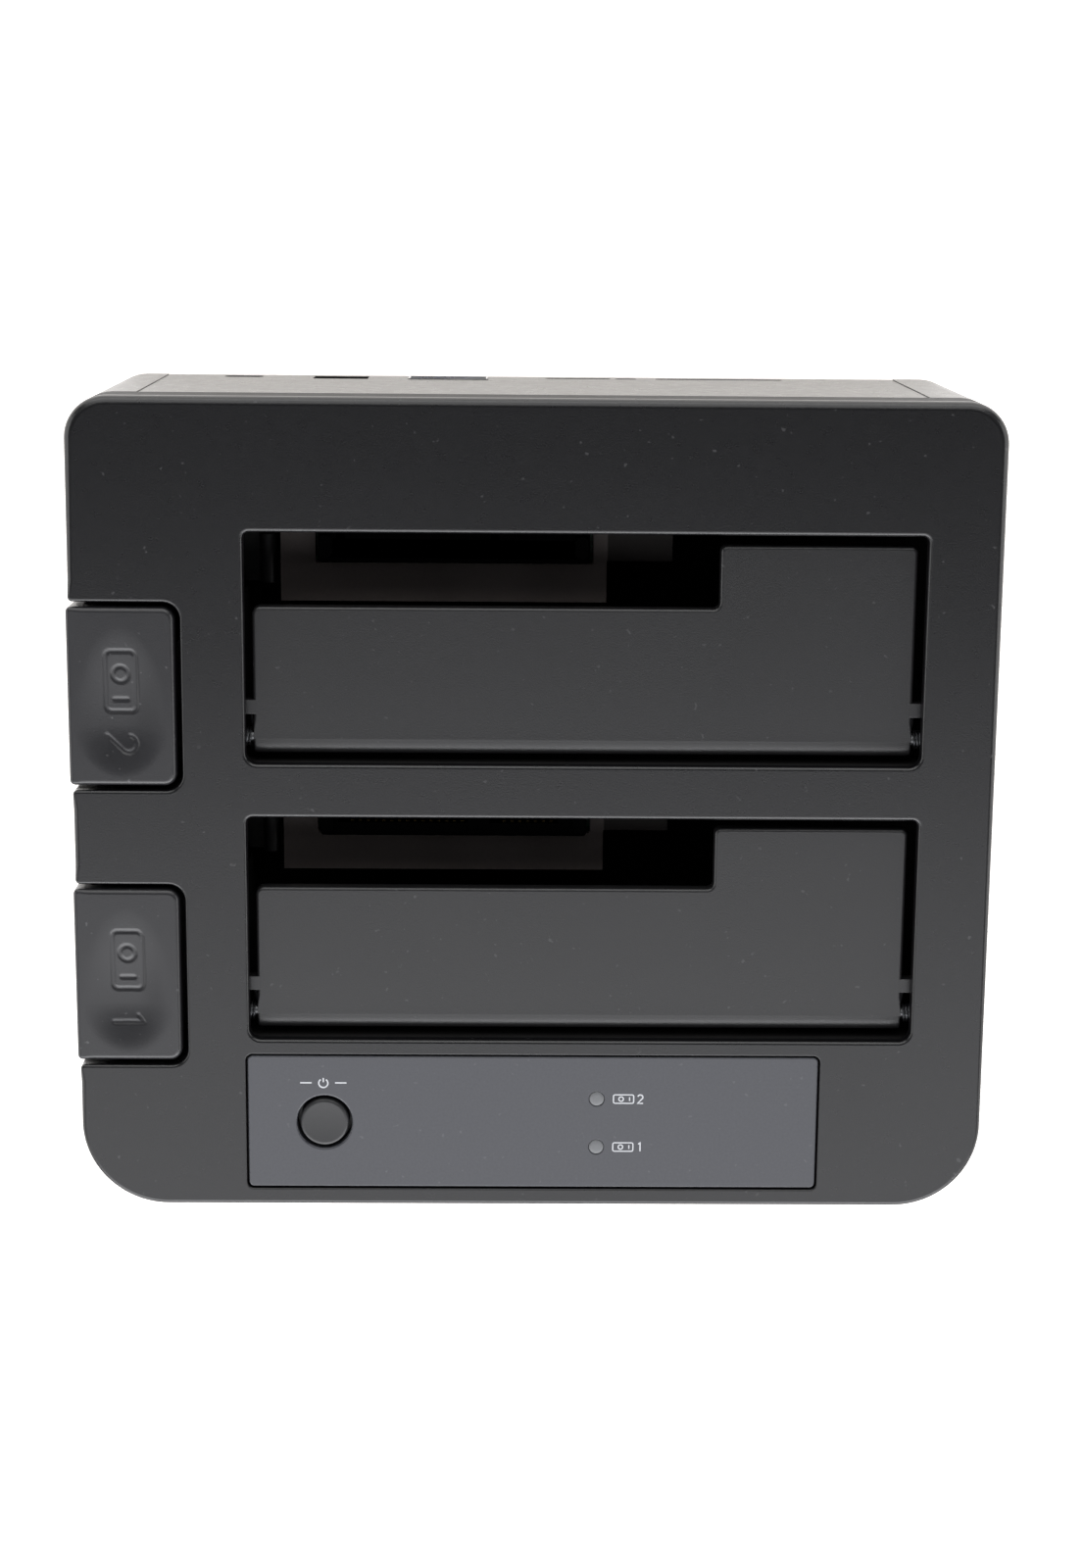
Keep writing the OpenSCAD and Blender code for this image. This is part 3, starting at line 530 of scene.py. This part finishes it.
def make_cover():
    b = Build()
    shape = cover_outline()
    wall, flat = b.soft_edge(shape, TOP_Z, 5)
    foot = b.ring(inset(shape[0], 0.25), SEAM_Z)
    lower = b.ring(shape[0], SEAM_Z + 0.3)
    b.bridge_all([wall, lower, foot])
    inner = cover_inside()[0]
    inner_low = b.ring(inner, SEAM_Z)
    inner_top = b.ring(inner, DECK_UNDER)
    b.fill([foot, inner_low])
    b.bridge(inner_low, inner_top)
    tops, lows = [flat], [inner_top]
    gap = 0.3
    recess = centred_box(PANEL_X, PANEL_Y, PANEL_W / 2 + gap, PANEL_D / 2 + gap, 1.1, 0.18)
    for opening in [slot_outline(edge) for edge in SLOT_EDGES.values()] + [recess]:
        opening = hole(opening)
        wall, flat = b.soft_edge(opening, TOP_Z)
        low = b.ring(opening[0], DECK_UNDER)
        b.bridge(wall, low)
        tops.append(flat)
        lows.append(low)
    b.fill(tops)
    b.fill(lows)
    # ledge under the control panel, with room for the power button and the light pipes
    ledge = centred_box(PANEL_X, PANEL_Y, PANEL_W / 2 + 1.5, 11.3, 1.0, 0.05)
    passages = [circle_outline(*POWER_XY, POWER_R + 0.55, 0.05)]
    passages += [circle_outline(LED_X, y, 1.4, 0.05, 24) for y in LED_YS]
    b.slab(ledge, passages, DECK_UNDER - 1.4, DECK_UNDER - TUCK)
    # posts for the case screws
    post_foot, post_r, bore_r, bore_z, top = 14, 3.4, 1.4, 26, DECK_UNDER - 0.02
    for x, y in CASE_SCREWS:
        b.turned(x, y, [(bore_r, post_foot), (post_r - 0.2, post_foot), (post_r, post_foot + 0.2),
                        (post_r, top), (bore_r, top), (bore_r, bore_z), (0, bore_z)], 32)
    b.done("cover_shell", "case", "cover_plastic", ["top_cover"])


# ---------------------------------------------------------------- flaps
def barrel_fullness(c, s):
    """The barrel's radius in the direction (c, s) over BARREL_R. Its upper front is fuller than round."""
    if not c < 0 < s:
        return 1.0
    power, blend = 6, 14
    blunt = BARREL_R * (abs(c) ** power + s ** power) ** (-1 / power)
    normal_c, normal_s, reach = 0.375, 0.927, 2.545  # of the flat slope across the blunt corner
    sloped = reach / (normal_c * abs(c) + normal_s * s)
    return (blunt ** -blend + sloped ** -blend) ** (-1 / blend) / BARREL_R


def make_flap(side):
    b = Build()
    edge, top = SLOT_EDGES[side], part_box("flap_" + side)[1].z / MM
    x0, x1 = FLAP_X0, FLAP_X1
    axis_y, axis_z = edge - HINGE_BACK, top - BARREL_R
    main_y, tab_y, tab_x = edge - MAIN_BACK, edge - TAB_BACK, x1 - TAB_W
    root_y = axis_y + 3
    plate = outline([(x0, axis_y, 0, 0.02), (x1, axis_y, 0, 0.02),
                     (x1, root_y, 0, FLAP_EDGE), (x1, tab_y, 1.0, FLAP_EDGE),
                     (tab_x, tab_y, 1.0, FLAP_EDGE), (tab_x, main_y, 1.0, FLAP_EDGE),
                     (x0, main_y, 1.2, FLAP_EDGE), (x0, root_y, 0, FLAP_EDGE)])
    b.slab(plate, [], top - FLAP_T, top)
    # barrel round the pin, with a bore
    r, n, length = BARREL_R, 96, x1 - x0
    end = [(PIN_BORE_R, 0.0), (r - 0.4, 0.0), (r - 0.12, 0.12), (r, 0.4)]
    profile = end + [(reach, length - x) for reach, x in reversed(end)] + end[:1]
    rings = []
    for reach, x in profile:
        ring = []
        for k in range(n):
            c, s = math.cos(FULL_TURN * k / n), math.sin(FULL_TURN * k / n)
            full = reach * (barrel_fullness(c, s) if reach > PIN_BORE_R else 1.0)
            ring.append(b.vert(x0 + x, axis_y + full * c, axis_z + full * s))
        rings.append(ring)
    b.bridge_all(rings)
    # stop lugs at both ends, and ribs below
    reach_out, reach_in = 2.0, 0.9
    for lug_x0, lug_x1 in ((x0 - reach_out, x0 + reach_in), (x1 - reach_in, x1 + reach_out)):
        lug = box_outline(lug_x0, axis_y + 3.9, lug_x1, axis_y + 6.1, 0.3, 0.05)
        b.slab(lug, [], top - FLAP_T + TUCK, top - TUCK)
    for k in range(6):
        rib_x = x0 + 4 + 18.6 * k
        rib = box_outline(rib_x - 0.6, axis_y + 0.5, rib_x + 0.6, main_y - 2, 0.2, 0.1)
        b.slab(rib, [], top - 3.1, top - 1.0)
    b.done("flap_panel_" + side, "flap_" + side, "flap_plastic", ["flap_" + side])


# ---------------------------------------------------------------- signs, as strokes
def arc_points(cx, cy, r, a0, a1, n=14):
    angles = [math.radians(a0 + (a1 - a0) * k / n) for k in range(n + 1)]
    return [Vector((cx + r * math.cos(t), cy + r * math.sin(t))) for t in angles]


def numeral(which):
    """Strokes of the numeral 1 or 2 in a box one unit tall, centred."""
    if which == 1:
        return [[Vector((-0.16, 0.34)), Vector((0.06, 0.5)), Vector((0.06, -0.5))]]
    top = arc_points(0.0, 0.22, 0.28, 165, -35)
    return [top + [Vector((-0.3, -0.5)), Vector((0.32, -0.5))]]


def drive_sign(w, h):
    """A drive seen from above: a rounded outline, its round platter and a bar."""
    pts, _ = box_outline(-w / 2, -h / 2, w / 2, h / 2, 0.18 * h, 0)
    ring = arc_points(-w * 0.12, 0.0, 0.26 * h, 0, 360, 24)
    bar = [Vector((w * 0.30, -h * 0.22)), Vector((w * 0.30, h * 0.22))]
    return [pts + [pts[0]], ring, bar]


def power_sign(r):
    return [arc_points(0, -0.08 * r, r, 125, 415, 26), [Vector((0, 0.15 * r)), Vector((0, 1.12 * r))]]


FAR = 9.0  # beyond the reach of any engraved stroke


def near_stroke(p, strokes):
    """Distance from p to the nearest stroke, or FAR."""
    best = FAR
    for line in strokes:
        for a, c in zip(line, line[1:]):
            d = c - a
            t = max(0.0, min(1.0, (p - a).dot(d) / max(1e-9, d.length_squared)))
            best = min(best, (p - a - d * t).length)
    return best


# ---------------------------------------------------------------- eject buttons
SIGN_DEPTH, SIGN_SLOPE, SIGN_REACH = 0.125, 0.24, 0.42  # a stroke's depth, slope width and half width
SIGN_ZONE = (3.2, -10.5, 8.2)  # half width in x, and the range in y, that hold the sign


def scoop_depth(x, y):
    """Depth of the finger scoop at a place measured from the button's middle."""
    middle_y, half_x = -4.5, 7.2
    half_y = 15.5 if y > middle_y else 8.2
    rho = (x / half_x) ** 2 + ((y - middle_y) / half_y) ** 2
    return 0.85 * (1 - rho) ** 2 if rho < 1 else 0.0


def button_sign(side):
    """The engraved drive and numeral. They read towards -Y, with their tops towards +X."""
    size = 4.6
    digit = [[q * size for q in line] for line in numeral(2 if side == "rear" else 1)]
    placed = [(line, 2.4) for line in drive_sign(9.4, size)] + [(line, -7.4) for line in digit]
    return [[Vector((q.y, along - q.x)) for q in line] for line, along in placed]


def engraving(p, sign):
    zone_x, zone_y0, zone_y1 = SIGN_ZONE
    near = near_stroke(p, sign) if abs(p.x) < zone_x and zone_y0 < p.y < zone_y1 else FAR
    cut = max(0.0, min(1.0, (SIGN_REACH - near) / SIGN_SLOPE))
    return SIGN_DEPTH * cut * cut * (3 - 2 * cut)


def make_button(side):
    b = Build()
    lo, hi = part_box("eject_button_" + side)
    edge, top = SLOT_EDGES[side], hi.z / MM
    x0, x1, y_mid = lo.x / MM, BUTTON_X1, edge + BUTTON_Y
    y0, y1 = y_mid - BUTTON_HALF, y_mid + BUTTON_HALF
    plate_z, skirt_z, skirt_x = top - BUTTON_T, top - SKIRT_H, x0 + SKIRT_T
    outer, inner = (0.8, 0.6), (1.9, 0.8)  # corner and edge radii towards the side and towards the slots
    plate_x = skirt_x + 0.02  # the first point that belongs to the plate alone
    shape = outline([(x0, y0, *outer), (plate_x, y0, 0, 0.8), (x1, y0, *inner),
                     (x1, y1, *inner), (plate_x, y1, 0, 0.8), (x0, y1, *outer)])
    wall, flat = b.soft_edge(shape, top, 5)
    # the scooped top, on a fine grid, with the sign cut into it
    sign = button_sign(side)
    pts = inset(shape[0], [e + SUPPORT for e in shape[1]])
    rim = len(pts)
    step, margin = 0.2, 1.3
    gx0, gx1, gy0, gy1 = x0 + margin, x1 - margin, y0 + margin, y1 - margin
    nx, ny = int((gx1 - gx0) / step), int((gy1 - gy0) / step)
    pts += [Vector((gx0 + (gx1 - gx0) * i / nx, gy0 + (gy1 - gy0) * j / ny))
            for i in range(nx + 1) for j in range(ny + 1)]
    rim_edges = [(k, (k + 1) % rim) for k in range(rim)]
    places, _, triangles, sources, _, _ = delaunay_2d_cdt(pts, rim_edges, [], 1, 1e-6)
    made = []
    for p, origins in zip(places, sources):
        on_rim = [q for q in origins if q < rim]
        if on_rim:
            made.append(flat[on_rim[-1]])
        else:
            local = Vector((p.x - BUTTON_MID_X, p.y - y_mid))
            made.append(b.vert(p.x, p.y, top - scoop_depth(local.x, local.y) - engraving(local, sign)))
    for triangle in triangles:
        b.face([made[k] for k in triangle])
    # the wall, down to the plate's underside and, on the outer side, to the skirt's foot
    pts = shape[0]
    n = len(pts)
    skirt = [k for k in range(n) if pts[k].x < skirt_x]
    low = b.ring(pts, [skirt_z if k in skirt else plate_z for k in range(n)])
    b.bridge(wall, low)
    # the skirt's inner face and both undersides
    front = max(skirt, key=lambda k: (pts[k].y < y_mid, pts[k].x))
    rear = max(skirt, key=lambda k: (pts[k].y > y_mid, pts[k].x))
    inner_line = [Vector((skirt_x, pts[front].y)), Vector((skirt_x, pts[rear].y))]
    root, foot = b.ring(inner_line, plate_z), b.ring(inner_line, skirt_z)
    if rear > front:
        outer_run = list(range(rear, n)) + list(range(front + 1))
    else:
        outer_run = list(range(rear, front + 1))
    inner_run = [k for k in range(n) if k not in outer_run]
    b.face([low[k] for k in outer_run] + [foot[0], foot[1]])
    b.face([low[k] for k in inner_run] + [root[1], root[0]])
    b.face([foot[0], foot[1], root[1], root[0]])
    b.face([low[front], foot[0], root[0], low[inner_run[0]]])
    b.face([low[rear], foot[1], root[1], low[inner_run[-1]]])
    # guide posts with their collars, and the leg that presses the lever
    under = plate_z - TUCK
    post_r, collar_r, bevel = 2.0, 2.7, 0.2
    post = [(0, 28.6), (collar_r - bevel, 28.6), (collar_r, 28.8), (collar_r, 30.5), (collar_r - bevel, 30.7),
            (post_r, 30.7), (post_r, under), (0, under)]
    for s in (-1, 1):
        b.turned(POST_X, y_mid + s * POST_DY, post, 32)
    leg_x, leg_y, leg_foot = -63.5, edge - 21.8, 28.5
    b.slab(centred_box(leg_x, leg_y, 1, 2.2, 0.4, 0.02), [], leg_foot, under, low_edge=0.8)
    b.done("eject_key_" + side, "button_" + side, "button_plastic", ["eject_button_" + side], sharp=42.0)


def make_coils(side):
    """The return springs on the button's posts."""
    b = Build()
    radius, wire, pitch, turns, steps, sides = 2.65, 0.28, 1.9, 7, 26, 10
    foot, y_mid = 37.3, SLOT_EDGES[side] + BUTTON_Y
    spokes = [FULL_TURN * j / sides for j in range(sides)]
    for s in (-1, 1):
        rings = []
        for k in range(turns * steps + 1):
            a = FULL_TURN * k / steps
            out = Vector((math.cos(a), math.sin(a), 0))
            along = Vector((-radius * out.y, radius * out.x, pitch / FULL_TURN)).normalized()
            up = out.cross(along)
            at = Vector((POST_X, y_mid + s * POST_DY, foot + pitch * k / steps)) + out * radius
            rings.append([b.vert(*(at + (out * math.cos(t) + up * math.sin(t)) * wire)) for t in spokes])
        b.bridge_all(rings)
        b.face(rings[0])
        b.face(rings[-1])
    piece = b.done("return_coils_" + side, "case", "spring_steel", ["eject_springs_" + side])
    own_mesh(piece)


# ---------------------------------------------------------------- control panel
def stroke_film(b, line, cx, cy, width, z0, z1):
    """A line of this width printed round (cx, cy) as a thin raised film."""
    closed = (line[0] - line[-1]).length < 1e-6
    pts = [Vector((q.x + cx, q.y + cy)) for q in (line[:-1] if closed else line)]
    n = len(pts)
    left, right = [], []
    for k in range(n):
        a = pts[k] - pts[k - 1] if (k > 0 or closed) else pts[1] - pts[0]
        c = pts[(k + 1) % n] - pts[k] if (k < n - 1 or closed) else pts[-1] - pts[-2]
        a, c = a.normalized(), c.normalized()
        na, nc = Vector((-a.y, a.x)), Vector((-c.y, c.x))
        m = (na + nc) / max(0.5, 1 + na.dot(nc)) * width / 2
        left.append(pts[k] + m)
        right.append(pts[k] - m)
    rings = [b.ring(left, z0), b.ring(left, z1), b.ring(right, z1), b.ring(right, z0)]
    for one, two in zip(rings, rings[1:] + rings[:1]):
        for k in range(n if closed else n - 1):
            j = (k + 1) % n
            b.face([one[k], one[j], two[j], two[k]])
    if not closed:
        b.face([r[0] for r in rings])
        b.face([r[-1] for r in rings])


def make_panel_plate(top):
    b = Build()
    holes = [circle_outline(*POWER_XY, POWER_R + 0.5, 0.3, 64)]
    holes += [circle_outline(LED_X, y, 1.24, 0.08, 32) for y in LED_YS]
    b.slab(centred_box(PANEL_X, PANEL_Y, PANEL_W / 2, PANEL_D / 2, 0.8, 0.2), holes, top - 1.5, top)
    b.done("panel_plate", "case", "panel_gloss", ["control_panel"])


def make_power_cap():
    """The power button: a stem, a flange below the panel, and a slightly dished cap."""
    b = Build()
    r, top = POWER_R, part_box("power_button")[1].z / MM
    stem_r, stem_z, flange_r, flange_z = 1.4, 47.95, 5.2, 49.6
    b.turned(*POWER_XY, [
        (0, stem_z), (stem_r, stem_z), (stem_r, flange_z), (flange_r - 0.1, flange_z),
        (flange_r, flange_z + 0.1), (flange_r, flange_z + 0.6), (flange_r - 0.1, flange_z + 0.7),
        (r, flange_z + 0.7), (r, top - 0.5), (r - 0.06, top - 0.25), (r - 0.2, top - 0.08),
        (r - 0.42, top), (r - 0.6, top - 0.01), (r - 1.6, top - 0.06), (r - 2.6, top - 0.09),
        (0, top - 0.1)], 96)
    b.done("power_cap", "power_button", "power_plastic", ["power_button"], sharp=30.0)


def make_light_pipes(top):
    """Two pipes with a foot under the panel and a low dome."""
    b = Build()
    foot_z, foot_r, pipe_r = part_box("light_pipes")[0].z / MM, 1.9, 1.18
    for y in LED_YS:
        b.turned(LED_X, y, [
            (0, foot_z), (foot_r - 0.1, foot_z), (foot_r, foot_z + 0.1), (foot_r, foot_z + 2),
            (pipe_r, foot_z + 2), (pipe_r, top - 0.12), (1.1, top - 0.03), (0.9, top + 0.02),
            (0.5, top + 0.05), (0, top + 0.06)], 40)
    b.done("light_dots", "case", "light_pipe", ["light_pipes"], sharp=50.0)


def make_panel_signs(top):
    b = Build()
    film = (top - 0.004, top + 0.018)
    thick, thin, digit_h = 0.22, 0.19, 1.4
    sign_x, sign_y, dash = -33.0, -43.6, 0.9
    for line in power_sign(0.72):
        stroke_film(b, line, sign_x, sign_y, thick, *film)
    for s in (-1, 1):
        stroke_film(b, [Vector((-dash, 0)), Vector((dash, 0))], sign_x + s * 2.75, sign_y, thick, *film)
    for y, digit in zip(LED_YS, (2, 1)):
        for line in drive_sign(3.2, digit_h):
            stroke_film(b, line, 14.45, y, thin, *film)
        for line in numeral(digit):
            stroke_film(b, [q * digit_h for q in line], 17.1, y, thick, *film)
    b.done("panel_signs", "case", "light_pipe", material="print_white", sharp=60.0)


# ---------------------------------------------------------------- all the pieces
make_cover()
for make in (make_flap, make_button, make_coils):
    for side in SLOT_EDGES:
        make(side)
panel_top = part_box("control_panel")[1].z / MM
make_panel_plate(panel_top)
make_power_cap()
make_light_pipes(panel_top)
make_panel_signs(panel_top)

for side in SLOT_EDGES:
    eased_copy("drive_well_" + side, "well_tub_" + side, "case", "well_plastic", 0.3)
    eased_copy("dock_platform_" + side, "platform_" + side, "case", "platform_plastic", 0.3)
    eased_copy("sata_receptacle_" + side, "receptacle_" + side, "case", "connector_plastic", 0.45, 3)
    eased_copy("eject_lever_" + side, "lever_arm_" + side, "lever_" + side, "lever_plastic", 0.3)
    eased_copy("button_bracket_" + side, "guide_bracket_" + side, "case", "lever_plastic", 0.25)
eased_copy("rubber_feet", "foot_pads", "case", "foot_rubber", 0.3)
eased_copy("dc_jack", "power_inlet", "case", "connector_plastic", 0.2)
eased_copy("lower_case", "case_shell", "case", "case_plastic", 0.12)
eased_copy("rear_panel", "rear_plate", "case", "rear_plastic", 0.06, widen=0.15)

# ---------------------------------------------------------------- stage, light and camera, in metres
scene = bpy.context.scene


def make_floor():
    mesh = bpy.data.meshes.new("floor")
    bm = bmesh.new()
    bmesh.ops.create_grid(bm, x_segments=2, y_segments=2, size=4.0)
    bm.to_mesh(mesh)
    bm.free()
    floor = bpy.data.objects.new("floor", mesh)
    scene.collection.objects.link(floor)
    material, nt, shader = tree("floor_white")
    values = {"Base Color": (0.9, 0.9, 0.9), "Roughness": 0.8, "Emission Color": (1.0, 0.93, 0.86),
              "Emission Strength": 0.72}
    for name, value in values.items():
        feed(nt, shader.inputs[name], value)
    mesh.materials.append(material)
    return floor


def softbox(name, place, aim, size, power, colour=(1, 1, 1)):
    light = bpy.data.lights.new(name, "AREA")
    light.shape = "RECTANGLE"
    light.size, light.size_y = size
    light.energy = power
    light.color = colour
    obj = bpy.data.objects.new(name, light)
    obj.location = place
    obj.rotation_euler = (Vector(aim) - Vector(place)).to_track_quat("-Z", "Y").to_euler()
    scene.collection.objects.link(obj)


def make_world():
    """A faint fill. Seen straight on it is as pale as the floor, so that a low view has no dark band."""
    world = bpy.data.worlds.new("studio")
    world.use_nodes = True
    nt = world.node_tree
    fill = nt.nodes["Background"]
    feed(nt, fill.inputs["Color"], (1, 1, 1))
    feed(nt, fill.inputs["Strength"], 0.03)
    pale = add(nt, "Background", {"Color": (1.0, 0.95, 0.90), "Strength": 1.0})
    to_camera = add(nt, "LightPath", {}).outputs["Is Camera Ray"]
    both = add(nt, "MixShader", {0: to_camera, 1: fill.outputs["Background"], 2: pale.outputs["Background"]})
    feed(nt, nt.nodes["World Output"].inputs["Surface"], both.outputs["Shader"])
    scene.world = world


def make_camera():
    """The photograph's camera, solved from the straight edges and corners of the top face."""
    camera = bpy.data.cameras.new("camera")
    camera.sensor_fit = "VERTICAL"
    camera.sensor_height = 36.0
    camera.lens = 62.197
    camera.clip_start = 0.01
    camera.clip_end = 20.0
    right, up = Vector((0.99987, 0.00867, 0.01344)), Vector((-0.00560, 0.97696, -0.21335))
    back = Vector((-0.01498, 0.21325, 0.97688))
    place = Vector((-0.00532, 0.09395, TOP_Z * MM + 0.40788))
    obj = bpy.data.objects.new("camera", camera)
    rows = [(right[i], up[i], back[i], place[i]) for i in range(3)]
    obj.matrix_world = Matrix(rows + [(0, 0, 0, 1)])
    scene.collection.objects.link(obj)
    scene.camera = obj


make_floor()
COOL = (0.97, 0.975, 1.0)
softbox("front_soft", (0.0, -0.65, 1.39), (0, -0.05, 0.05), (1.8, 0.75), 9.0, COOL)
softbox("top_soft", (0.0, 0.95, 1.10), (0, 0.0, 0.05), (1.6, 0.7), 8)
softbox("rim_soft", (0.0, -1.40, 1.02), (0, 0.0, 0.05), (2.4, 0.95), 46, COOL)
softbox("back_soft", (0.0, 1.45, 0.48), (0, 0.0, 0.04), (2.4, 0.7), 18)
softbox("left_soft", (-1.4, -0.2, 0.62), (0, 0.0, 0.04), (2.0, 0.8), 14)
softbox("right_soft", (1.4, -0.2, 0.62), (0, 0.0, 0.04), (2.0, 0.8), 14)
make_world()
scene.view_settings.view_transform = "Standard"
make_camera()
